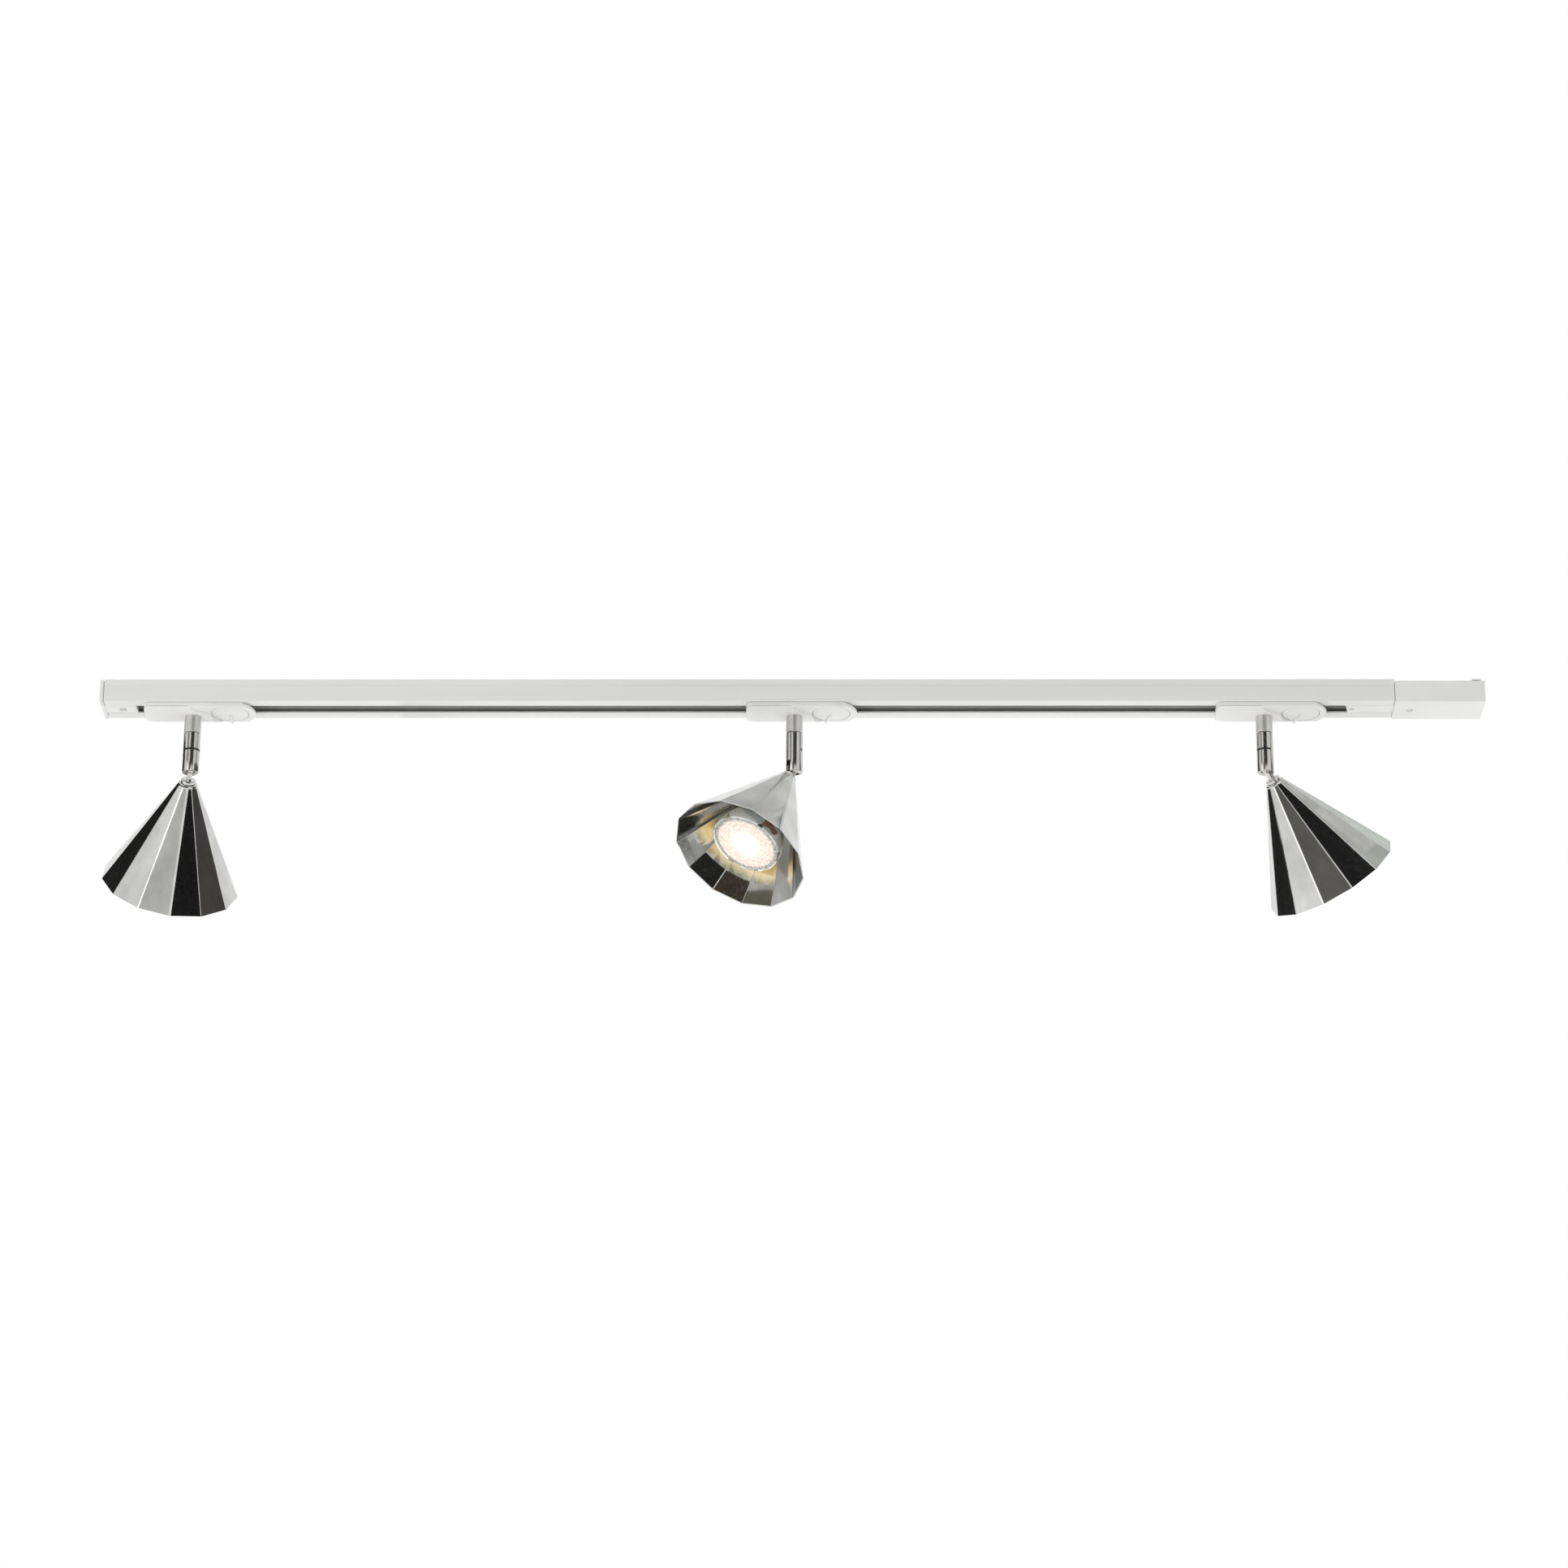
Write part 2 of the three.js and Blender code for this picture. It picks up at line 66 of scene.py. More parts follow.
def grain(material, per_metre, detail=2.0, follows=None):
    """A noise with so many cells to the metre on each axis, laid in a stored attribute if one is named."""
    tree = material.node_tree
    if follows:
        place = tree.nodes.new("ShaderNodeAttribute")
        place.attribute_name = follows
        where = place.outputs["Vector"]
    else:
        where = tree.nodes.new("ShaderNodeTexCoord").outputs["Object"]
    stretch = tree.nodes.new("ShaderNodeMapping")
    stretch.inputs["Scale"].default_value = per_metre
    noise = tree.nodes.new("ShaderNodeTexNoise")
    noise.inputs["Scale"].default_value = 1
    noise.inputs["Detail"].default_value = detail
    tree.links.new(where, stretch.inputs["Vector"])
    tree.links.new(stretch.outputs["Vector"], noise.inputs["Vector"])
    return noise.outputs["Fac"]


def relief(material, height, strength, depth):
    """Raises the surface by a pattern, on top of any relief that it has."""
    tree = material.node_tree
    normal = tree.nodes["Principled BSDF"].inputs["Normal"]
    bump = tree.nodes.new("ShaderNodeBump")
    bump.inputs["Strength"].default_value = strength
    bump.inputs["Distance"].default_value = depth
    if normal.is_linked:
        tree.links.new(normal.links[0].from_socket, bump.inputs["Normal"])
    tree.links.new(height, bump.inputs["Height"])
    tree.links.new(bump.outputs["Normal"], normal)


def tones(material, pattern, dark, light, low=0.35, high=0.65):
    """Varies the colour between two tones."""
    tree = material.node_tree
    ramp = tree.nodes.new("ShaderNodeValToRGB")
    ramp.color_ramp.elements[0].position = low
    ramp.color_ramp.elements[0].color = (*dark, 1)
    ramp.color_ramp.elements[1].position = high
    ramp.color_ramp.elements[1].color = (*light, 1)
    tree.links.new(pattern, ramp.inputs["Fac"])
    tree.links.new(ramp.outputs["Color"], tree.nodes["Principled BSDF"].inputs["Base Color"])


def gloss(material, pattern, smooth, rough):
    """Varies the roughness between two values."""
    tree = material.node_tree
    spread = tree.nodes.new("ShaderNodeMapRange")
    spread.inputs["From Min"].default_value = 0.3
    spread.inputs["From Max"].default_value = 0.7
    spread.inputs["To Min"].default_value = smooth
    spread.inputs["To Max"].default_value = rough
    tree.links.new(pattern, spread.inputs["Value"])
    tree.links.new(spread.outputs["Result"], tree.nodes["Principled BSDF"].inputs["Roughness"])


def powder_coat():
    material = finish("white powder coat", (0.84, 0.84, 0.83), 0.42)
    tones(material, grain(material, (3, 60, 60)), (0.82, 0.82, 0.81), (0.86, 0.86, 0.855))
    gloss(material, grain(material, (400, 400, 400)), 0.36, 0.48)
    relief(material, grain(material, (2, 700, 700), 3), 0.35, 0.00006)
    relief(material, grain(material, (1500, 1500, 1500), 3), 0.2, 0.00004)
    return material


def new_piece(name, bm, material, body, slot, *stands_for, place=None, sharp=35):
    """Turns a finished bmesh into a piece in its place, with round surfaces smooth and edges crisp."""
    if place is not None:
        bmesh.ops.transform(bm, matrix=place, verts=bm.verts)
    mesh = bpy.data.meshes.new(name)
    bm.to_mesh(mesh)
    bm.free()
    mesh.shade_smooth()
    mesh.set_sharp_from_angle(angle=math.radians(sharp))
    piece = bpy.data.objects.new(name, mesh)
    bpy.context.scene.collection.objects.link(piece)
    mesh.materials.append(material)
    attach(piece, body)
    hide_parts(*stands_for)


def points_of(made):
    """The vertices among the things that an operator made."""
    return [thing for thing in made if isinstance(thing, bmesh.types.BMVert)]


def with_borders(faces):
    """Faces with their edges and corners, each once."""
    edges = dict.fromkeys(e for f in faces for e in f.edges)
    verts = dict.fromkeys(v for f in faces for v in f.verts)
    return [*faces, *edges, *verts]


def score(bm, geom, axis, at):
    """Cuts new edges where the geometry crosses a plane square to an axis, at a distance in millimetres."""
    bmesh.ops.bisect_plane(bm, geom=geom, dist=1e-7, plane_co=Vector(axis) * at * MM, plane_no=axis)


def drawn(section, start, end):
    """A closed section of (y, z) points in millimetres, drawn along the track."""
    bm = bmesh.new()
    face = bm.faces.new([bm.verts.new((start * MM, y * MM, z * MM)) for y, z in section])
    made = bmesh.ops.extrude_face_region(bm, geom=[face])["geom"]
    bmesh.ops.translate(bm, verts=points_of(made), vec=((end - start) * MM, 0, 0))
    bmesh.ops.recalc_face_normals(bm, faces=bm.faces)
    return bm


def round_edges(bm, edges, radius, segments=3):
    bmesh.ops.bevel(bm, geom=list(edges), offset=radius * MM, offset_type="OFFSET", segments=segments,
                    profile=0.5, affect="EDGES", material=-1, clamp_overlap=True)


low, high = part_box("track_profile")
track_end, track_half, track_bottom = high.x / MM, high.y / MM, low.z / MM
lip_half, lip_top, wall, web = 7.25, track_bottom + 1.6, 1.6, 1.8
groove_top, groove_bottom, groove_slope = -5.2, -5.9, 0.2
groove_floor, inner_half = track_half - 0.25, track_half - wall
side = [(track_half, track_bottom), (track_half, groove_bottom),
        (groove_floor, groove_bottom + groove_slope), (groove_floor, groove_top - groove_slope),
        (track_half, groove_top), (track_half, 0)]
inside = [(lip_half, track_bottom), (lip_half, lip_top), (inner_half, lip_top), (inner_half, -web)]
section = ([(-y, z) for y, z in side] + [(y, z) for y, z in reversed(side)] + inside
           + [(-y, z) for y, z in reversed(inside)])
bm = drawn(section, -track_end, track_end)

corner_radius, near = 0.45, 0.01
corners = [(sign * y, z) for sign in (-1, 1)
           for y, z in ((track_half, track_bottom), (track_half, 0),
                        (lip_half, track_bottom), (lip_half, lip_top))]
long_edges = [e for e in bm.edges if abs(e.verts[0].co.x - e.verts[1].co.x) > track_end * MM
              and any(abs(e.verts[0].co.y / MM - y) < near and abs(e.verts[0].co.z / MM - z) < near
                      for y, z in corners)]
round_edges(bm, long_edges, corner_radius)


def web_faces():
    """The two flat sides of the web, under the track's top face."""
    return [f for f in bm.faces if abs(f.normal.z) > 0.99 and f.calc_center_median().z > -(web + 0.7) * MM]


ceiling_slots, slot_reach, slot_half, slot_steps = (-400, -125, 125, 400), 6.5, 2.5, 6
nearly_round = 0.97
for middle in ceiling_slots:
    for axis, at in (((1, 0, 0), middle - slot_reach), ((1, 0, 0), middle + slot_reach),
                     ((0, 1, 0), -slot_half), ((0, 1, 0), slot_half)):
        faces = [f for f in web_faces()
                 if min(v.co.x for v in f.verts) < middle * MM < max(v.co.x for v in f.verts)]
        score(bm, with_borders(faces), axis, at)
    bm.normal_update()
    over = [f for f in web_faces()
            if (f.calc_center_median().xy - Vector((middle * MM, 0))).length < 0.5 * MM]
    rims = [e for f in over for e in f.edges]
    bmesh.ops.delete(bm, geom=over, context="FACES_ONLY")
    walls = bmesh.ops.bridge_loops(bm, edges=rims)["faces"]
    upright = dict.fromkeys(e for f in walls for e in f.edges
                            if abs(e.verts[0].co.z - e.verts[1].co.z) > web / 2 * MM)
    round_edges(bm, upright, slot_half * nearly_round, slot_steps)
new_piece("track", bm, powder_coat(), "track", "white_aluminium", "track_profile")


# ---------------------------------------------------------------------------------------------------
# Inside the track, a dark plastic strip on each side carries a bare copper conductor in its groove.
# Both are pushed in from the end, and they show only through the slot.

strip = finish("grey insulating plastic", (0.5, 0.5, 0.5), 0.5)
tones(strip, grain(strip, (8, 300, 300)), (0.46, 0.46, 0.46), (0.54, 0.54, 0.54))
relief(strip, grain(strip, (6, 900, 900), 3), 0.3, 0.00005)
copper = finish("copper strip", (0.75, 0.36, 0.2), 0.3, 1)
tones(copper, grain(copper, (20, 500, 500), 3), (0.6, 0.27, 0.14), (0.82, 0.43, 0.25))
gloss(copper, grain(copper, (40, 900, 900), 3), 0.22, 0.45)
for label in ("front", "back"):
    nodes["insulator_" + label].data.materials[0] = strip
    nodes["conductor_" + label].data.materials[0] = copper


# ---------------------------------------------------------------------------------------------------
# The end cap is moulded in white plastic: a flat flange over the track's end and a tongue that fills
# the last of the slot, held up by one small screw.

def moulded_white():
    material = finish("white moulded plastic", (0.87, 0.87, 0.865), 0.38)
    tones(material, grain(material, (40, 40, 40)), (0.85, 0.85, 0.845), (0.885, 0.885, 0.88))
    gloss(material, grain(material, (900, 900, 900)), 0.32, 0.46)
    relief(material, grain(material, (2200, 2200, 2200), 3), 0.25, 0.00003)
    return material


def add_block(bm, x, y, z, radius=0.0, segments=3):
    """A block between two limits on each axis, in millimetres, with its edges rounded."""
    middle = [(a + b) / 2 * MM for a, b in (x, y, z)]
    size = [(b - a) * MM for a, b in (x, y, z)]
    own = bmesh.ops.create_cube(bm, size=1, matrix=Matrix.Translation(middle) @ Matrix.Diagonal((*size, 1)))
    edges = dict.fromkeys(e for v in own["verts"] for e in v.link_edges)
    if radius:
        round_edges(bm, edges, radius, segments)


def sink(bm, x, z, radius, depth):
    """Sinks a round hole in the downward face at z, on the track's centre line."""
    place = Vector((x * MM, 0, z * MM))
    for axis, middle in (((1, 0, 0), x), ((0, 1, 0), 0)):
        for edge in (-radius, radius):
            level = [f for f in bm.faces
                     if abs(f.calc_center_median().z - z * MM) < 1e-5 and f.normal.z < -0.9]
            score(bm, with_borders(level), axis, middle + edge)
    bm.normal_update()
    square = [f for f in bm.faces if (f.calc_center_median() - place).length < 1e-4][0]
    bmesh.ops.bevel(bm, geom=list(square.verts), offset=radius * nearly_round * MM, offset_type="OFFSET",
                    segments=slot_steps, profile=0.5, affect="VERTICES", material=-1, clamp_overlap=True)
    bm.normal_update()
    disc = min((f for f in bm.faces if f.normal.z < -0.9),
               key=lambda f: (f.calc_center_median() - place).length)
    made = bmesh.ops.extrude_face_region(bm, geom=[disc])["geom"]
    bmesh.ops.delete(bm, geom=[disc], context="FACES_ONLY")
    bmesh.ops.translate(bm, verts=points_of(made), vec=(0, 0, depth * MM))


def screw(name, node, turn):
    """A small countersunk screw with a cross recess, seen from below."""
    head_height, edge_radius, cross_depth, shank_overlap = 0.8, 0.25, 0.55, 0.7
    low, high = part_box(node)
    middle = (low + high) / 2
    head = (high.x - low.x) / 2
    bm = bmesh.new()
    bmesh.ops.create_cone(bm, cap_ends=True, segments=32, radius1=head, radius2=head, depth=head_height * MM,
                          matrix=Matrix.Translation((0, 0, head_height / 2 * MM)))
    rim = [e for e in bm.edges if all(abs(v.co.z) < 1e-6 for v in e.verts)]
    round_edges(bm, rim, edge_radius, 2)
    bm.normal_update()
    arm_half, arm_reach = head * 0.16, head * 0.66
    for axis in ((1, 0, 0), (0, 1, 0)):
        for at in (-arm_reach, -arm_half, arm_half, arm_reach):
            score(bm, with_borders([f for f in bm.faces if f.normal.z < -0.99]), axis, at / MM)
            bm.normal_update()
    cross = []
    for f in bm.faces:
        x, y, _ = (abs(value) for value in f.calc_center_median())
        if f.normal.z < -0.99 and min(x, y) < arm_half and max(x, y) < arm_reach:
            cross.append(f)
    made = bmesh.ops.extrude_face_region(bm, geom=cross)["geom"]
    bmesh.ops.translate(bm, verts=points_of(made), vec=(0, 0, cross_depth * MM))
    tall = high.z - low.z
    bmesh.ops.create_cone(bm, cap_ends=True, segments=20, radius1=head * 0.55, radius2=head * 0.5,
                          depth=tall - shank_overlap * MM,
                          matrix=Matrix.Translation((0, 0, (tall + shank_overlap * MM) / 2)))
    place = Matrix.Translation((middle.x, middle.y, low.z)) @ Matrix.Rotation(math.radians(turn), 4, "Z")
    new_piece(name, bm, plated, "track", "satin_nickel", node, place=place)


plated = finish("plated screw steel", (0.6, 0.59, 0.57), 0.3, 1)
gloss(plated, grain(plated, (1500, 1500, 1500), 3), 0.2, 0.45)
relief(plated, grain(plated, (900, 900, 900), 2), 0.2, 0.00003)

white_plastic = moulded_white()
low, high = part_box("end_cap")
flange_start, flange_end, tongue_end = low.x / MM, -track_end - 0.45, high.x / MM
tongue_half, tongue_face, tongue_top = 6.9, track_bottom + 0.1, -12
screw_hole, screw_hole_depth = 2.75, 1.2
bm = bmesh.new()
add_block(bm, (flange_start, flange_end), (low.y / MM, high.y / MM), (low.z / MM, high.z / MM), 0.9, 4)
add_block(bm, (flange_end - 0.5, tongue_end), (-tongue_half, tongue_half), (tongue_face, tongue_top),
          0.25, 2)
screw_low, screw_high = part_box("end_cap_screw")
sink(bm, (screw_low.x + screw_high.x) / 2 / MM, tongue_face, screw_hole, screw_hole_depth)
new_piece("end_cap_moulding", bm, white_plastic, "track", "white_plastic", "end_cap")
screw("end_cap_cross_screw", "end_cap_screw", 20)


# ---------------------------------------------------------------------------------------------------
# The power feed closes the other end. A white moulded shell hangs under a base plate with a narrow rib
# on top, and its tongue runs along inside the slot to a pointed tip. Inside are the terminals.

def merge(bm, other):
    """Adds another bmesh's shape to a piece."""
    scrap = bpy.data.meshes.new("scrap")
    other.to_mesh(scrap)
    other.free()
    bm.from_mesh(scrap)
    bpy.data.meshes.remove(scrap)


low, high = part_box("feed_cover")
shell_start, shell_end = track_end + 0.4, high.x / MM
tongue_start = low.x / MM
tip, tongue_root, screw_room = 2.6, shell_start + 1, 0.35
bm = bmesh.new()
add_block(bm, (shell_start, shell_end), (low.y / MM, high.y / MM), (low.z / MM, high.z / MM), 1.0, 4)
tongue = bmesh.new()
outline = [(tongue_start, -tongue_half), (tongue_start + tip, tongue_half), (tongue_root, tongue_half),
           (tongue_root, -tongue_half)]
face = tongue.faces.new([tongue.verts.new((x * MM, y * MM, tongue_face * MM)) for x, y in outline])
made = bmesh.ops.extrude_face_region(tongue, geom=[face])["geom"]
bmesh.ops.translate(tongue, verts=points_of(made), vec=(0, 0, (tongue_top - tongue_face) * MM))
bmesh.ops.recalc_face_normals(tongue, faces=tongue.faces)
round_edges(tongue, tongue.edges, 0.25, 2)
merge(bm, tongue)
for node, depth in (("feed_cover_screw", 1.4), ("feed_tongue_screw", 1.0)):
    low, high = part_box(node)
    sink(bm, (low.x + high.x) / 2 / MM, low.z / MM, (high.x - low.x) / 2 / MM + screw_room, depth)
new_piece("feed_shell", bm, white_plastic, "track", "white_plastic", "feed_cover")
screw("feed_cross_screw", "feed_cover_screw", 35)
screw("feed_tongue_cross_screw", "feed_tongue_screw", 10)
nodes["feed_base"].data.materials[0] = white_plastic

brass = finish("contact brass", (0.72, 0.52, 0.24), 0.3, 1)
tones(brass, grain(brass, (600, 600, 600), 3), (0.6, 0.42, 0.18), (0.8, 0.6, 0.3))
gloss(brass, grain(brass, (1200, 1200, 1200), 3), 0.2, 0.45)
for label in ("front", "back"):
    nodes["feed_blade_" + label].data.materials[0] = brass
ceramic = finish("unglazed ceramic", (0.8, 0.77, 0.7), 0.6)
tones(ceramic, grain(ceramic, (500, 500, 500), 4), (0.74, 0.71, 0.64), (0.84, 0.82, 0.76))
relief(ceramic, grain(ceramic, (1800, 1800, 1800), 4), 0.4, 0.00005)
nodes["terminal_block"].data.materials[0] = ceramic


# ---------------------------------------------------------------------------------------------------
# Each spot is plugged in with an adapter: a thin moulded plate under the track, a thick rounded lobe
# round the stem, and a key that goes up through the slot. The lobe stops at an S-shaped step that
# leaves room for the lever's dial.

SPOTS = ("left", "middle", "right")
joint = {j["name"]: j for j in frame["joints"]}
stem_x = {spot: joint[spot + "_swivel"]["pos_m"][0] / MM for spot in SPOTS}
dial_x = joint["left_lock"]["pos_m"][0] / MM - stem_x["left"]
adapter_half, adapter_left, end_radius, dial_radius, dial_gap = 15.5, -37.4, 20, 14.2, 0.6
plate_top, plate_bottom, rim_bottom, lobe_bottom = track_bottom - 0.3, -20.4, -22, -24.9
left_end = [(-32, -adapter_half), (-35.4, -14.5), (-36.9, -12), (adapter_left, -8),
            (adapter_left, 8), (-36.9, 12), (-35.4, 14.5), (-32, adapter_half)]


def arc(bm, centre, radius, start, end, steps):
    """A run of edges round an arc, in degrees, made by spinning one vertex."""
    first = bm.verts.new(((centre + radius * math.cos(math.radians(start))) * MM,
                          radius * math.sin(math.radians(start)) * MM, 0))
    made = bmesh.ops.spin(bm, geom=[first], cent=(centre * MM, 0, 0), axis=(0, 0, 1),
                          angle=math.radians(end - start), steps=steps, use_duplicate=False)
    return first, points_of(made["geom_last"])[0]


def raise_outline(bm, bottom, top):
    """Closes a flat ring of edges and gives it thickness."""
    face = bmesh.ops.contextual_create(bm, geom=list(bm.edges))["faces"][0]
    made = bmesh.ops.extrude_face_region(bm, geom=[face])["geom"]
    bmesh.ops.translate(bm, verts=points_of(made), vec=(0, 0, (top - bottom) * MM))
    bmesh.ops.translate(bm, verts=bm.verts, vec=(0, 0, bottom * MM))
    bmesh.ops.recalc_face_normals(bm, faces=bm.faces)


def chain(bm, start, end, points):
    """Joins two vertices by edges through points in millimetres."""
    last = start
    for x, y in points:
        vert = bm.verts.new((x * MM, y * MM, 0))
        bm.edges.new((last, vert))
        last = vert
    bm.edges.new((last, end))


def level_edges(bm, z):
    return [e for e in bm.edges if all(abs(v.co.z - z * MM) < 1e-6 for v in e.verts)]


def adapter_plate():
    """The flat plate under the track and the rim below it, which leaves a round pocket for the dial."""
    top_chamfer, rim_rounding, slack, steps = 1.7, 0.3, 0.1, 24
    swing = math.degrees(math.asin(adapter_half / end_radius))
    bm = bmesh.new()
    first, last = arc(bm, dial_x, end_radius, -swing, swing, steps)
    chain(bm, last, first, left_end[::-1])
    raise_outline(bm, plate_bottom, plate_top)
    end_arc = [e for e in level_edges(bm, plate_top) if all(v.co.x > (dial_x + 6) * MM for v in e.verts)]
    round_edges(bm, end_arc, top_chamfer, 1)
    for near_stem in (True, False):
        rim = bmesh.new()
        if near_stem:
            first, last = arc(rim, dial_x, dial_radius + dial_gap, 90, 270, 32)
            chain(rim, last, first, [(dial_x, -adapter_half), *left_end, (dial_x, adapter_half)])
        else:
            outer_first, outer_last = arc(rim, dial_x, end_radius, -swing, swing, steps)
            first, last = arc(rim, dial_x, dial_radius + dial_gap, 90, -90, 32)
            chain(rim, outer_last, first, [(dial_x, adapter_half)])
            chain(rim, last, outer_first, [(dial_x, -adapter_half)])
        raise_outline(rim, rim_bottom, plate_bottom)
        dial_centre = Vector((dial_x * MM, 0))
        outer = [e for e in level_edges(rim, rim_bottom)
                 if all(abs(v.co.y) > (adapter_half - slack) * MM or v.co.x < (left_end[0][0] + 1) * MM
                        or (v.co.xy - dial_centre).length > (end_radius - slack) * MM for v in e.verts)]
        round_edges(rim, outer, rim_rounding, 2)
        merge(bm, rim)
    return bm


def adapter_lobe():
    """The thick part round the stem. Its lower face falls away to both sides and to the left end."""
    s_step = [(12.3, -1.7), (10.6, -3.2), (8.8, -4.6), (7, -6), (5.1, -7.4), (3.3, -8.9), (1.5, -10.5),
              (-0.2, -12.4), (-1.7, -14.5), (-2.2, -adapter_half)]
    lobe_right, flat_half, flat_left = 20.3, 8, -28
    side_rise, end_rise, shared, curve = 3.3, 1.5, 0.3, 1.5
    bm = bmesh.new()
    first, last = arc(bm, dial_x, dial_radius + dial_gap, 119, 180, 20)
    chain(bm, last, first, [*s_step, *left_end, (lobe_right, adapter_half)])
    raise_outline(bm, lobe_bottom, rim_bottom + 0.6)
    for y in (-13, -10.5, -flat_half, flat_half, 10.5, 13):
        score(bm, [*bm.verts, *bm.edges, *bm.faces], (0, 1, 0), y)
    for x in (-35, -32, flat_left):
        score(bm, [*bm.verts, *bm.edges, *bm.faces], (1, 0, 0), x)
    for v in bm.verts:
        if v.co.z < (lobe_bottom + 0.5) * MM:
            across = max(0, (abs(v.co.y) / MM - flat_half) / (adapter_half - flat_half))
            along = max(0, (flat_left - v.co.x / MM) / (flat_left - adapter_left))
            rise = (side_rise * across ** curve + end_rise * along ** curve) * (1 - shared * across * along)
            v.co.z += rise * MM
    return bm


key_x, key_z = (-30, 12), (plate_top - 0.2, -4)
hook_x, hook_y, hook_z = (-29, -20), (-12, -5.9), (-15.9, -13.7)
lobe_rounding, steep = 0.45, 0.9
for spot in SPOTS:
    bm = adapter_plate()
    lobe = adapter_lobe()
    lower_edge = [e for e in lobe.edges if len(e.link_faces) == 2 and e.calc_face_angle(0) > steep
                  and max(v.co.z for v in e.verts) < (rim_bottom - 0.3) * MM]
    round_edges(lobe, lower_edge, lobe_rounding)
    merge(bm, lobe)
    add_block(bm, key_x, (-tongue_half, tongue_half), key_z, 0.4, 2)
    add_block(bm, hook_x, hook_y, hook_z, 0.3, 2)
    new_piece(spot + "_adapter", bm, white_plastic, spot + "_adapter", "white_plastic",
              spot + "_adapter_housing", place=Matrix.Translation((stem_x[spot] * MM, 0, 0)), sharp=40)


# ---------------------------------------------------------------------------------------------------
# The lever locks the adapter: a round dial with a thin grip bar, moulded in one with the cam on its
# shaft. The cam's ears catch the track's lips and it carries two brass blades to the conductors.

lever_turn = {"left": 0, "middle": 15, "right": 15}
dial_face, dial_back = rim_bottom, plate_bottom - 0.3
grip_half, grip_face, grip_reach, grip_gap, web_depth = 0.9, plate_bottom - 2.9, 17.2, 0.35, 0.8
shaft_radius, shaft_z, ear_half, ear_reach = 6.6, (-20.35, -4.85), 3, 11.5
for spot in SPOTS:
    bm = bmesh.new()
    for radius, steps, (bottom, top) in ((dial_radius, 96, (dial_face, dial_back)),
                                         (shaft_radius, 48, shaft_z)):
        middle = Matrix.Translation((0, 0, (top + bottom) / 2 * MM))
        bmesh.ops.create_cone(bm, cap_ends=True, segments=steps, radius1=radius * MM, radius2=radius * MM,
                              depth=(top - bottom) * MM, matrix=middle)
    round_edges(bm, level_edges(bm, dial_face), 0.25, 2)
    add_block(bm, (-grip_half, grip_half), (2, grip_reach), (grip_face, dial_face - grip_gap), 0.35, 2)
    add_block(bm, (-grip_half, grip_half), (2, dial_radius - 0.6), (dial_face - web_depth, dial_back))
    add_block(bm, (-ear_half, ear_half), (-ear_reach, ear_reach), hook_z, 0.4, 2)
    place = (Matrix.Translation(((stem_x[spot] + dial_x) * MM, 0, 0))
             @ Matrix.Rotation(math.radians(lever_turn[spot]), 4, "Z"))
    new_piece(spot + "_lever", bm, white_plastic, spot + "_lever", "white_plastic", spot + "_lock_lever",
              place=place)
    for label in ("live", "neutral"):
        nodes[f"{spot}_{label}_contact"].data.materials[0] = brass


# ---------------------------------------------------------------------------------------------------
# The stem is turned metal, nickel plated. A fixed satin collar is screwed to the adapter, and a brighter
# tube swivels under it on a hidden spigot, held by a dark spring clip that shows in a slot on one side.

def turned(profile, steps=64):
    """Spins a profile of (radius, z) points in millimetres about Z. A closed one ends as it starts."""
    bm = bmesh.new()
    closed = profile[0] == profile[-1]
    verts = [bm.verts.new((r * MM, 0, z * MM)) for r, z in (profile[:-1] if closed else profile)]
    edges = [bm.edges.new(pair) for pair in zip(verts, verts[1:])]
    if closed:
        edges.append(bm.edges.new((verts[-1], verts[0])))
    bmesh.ops.spin(bm, geom=verts + edges, cent=(0, 0, 0), axis=(0, 0, 1), angle=math.tau, steps=steps,
                   use_merge=True, use_duplicate=False)
    bmesh.ops.remove_doubles(bm, verts=bm.verts, dist=1e-7)
    bmesh.ops.recalc_face_normals(bm, faces=bm.faces)
    return bm


def keep_local(bm):
    """Stores where each point is on the piece itself, for patterns that follow it."""
    layer = bm.verts.layers.float_vector.new("own_place")
    for v in bm.verts:
        v[layer] = v.co


def turned_metal(name, dark, light, smooth, rough):
    material = finish(name, light, rough, 1)
    tones(material, grain(material, (300, 300, 60), 3), dark, light)
    gloss(material, grain(material, (500, 500, 3500), 2), smooth, rough)
    relief(material, grain(material, (60, 60, 6000), 2), 0.015, 0.00002)
    return material


satin_nickel = turned_metal("satin collar metal", (0.66, 0.65, 0.63), (0.74, 0.73, 0.71), 0.36, 0.46)
bright_nickel = turned_metal("bright nickel", (0.52, 0.51, 0.485), (0.6, 0.59, 0.56), 0.19, 0.22)
dark_steel = finish("blackened spring steel", (0.06, 0.06, 0.062), 0.35, 1)
gloss(dark_steel, grain(dark_steel, (900, 900, 900), 3), 0.28, 0.5)

stem_radius, stem_top, collar_bottom = 6.5, -24.4, -38.8
tube_top, tube_bottom, tube_bore = -39.2, -71.5, 5.05
spigot, spigot_bottom, wire_hole, end_rounding = 4.7, -57.5, 2, 0.35
clip_z, clip_half, groove_share, tube_steps = -53.3, 0.8, 0.82, 72
pivot_z, fork_gap, eye_clear, slot_mouth = joint["left_tilt"]["pos_m"][2] / MM, 4.2, 4.7, 6.1
fork_top, foot_rounding = pivot_z + 4.9, 0.8


def in_slot(point):
    """Whether a point lies in the fork's slot, which is open below and on the side the head tips to."""
    return abs(point.x) < fork_gap / 2 * MM and point.y > -eye_clear * MM


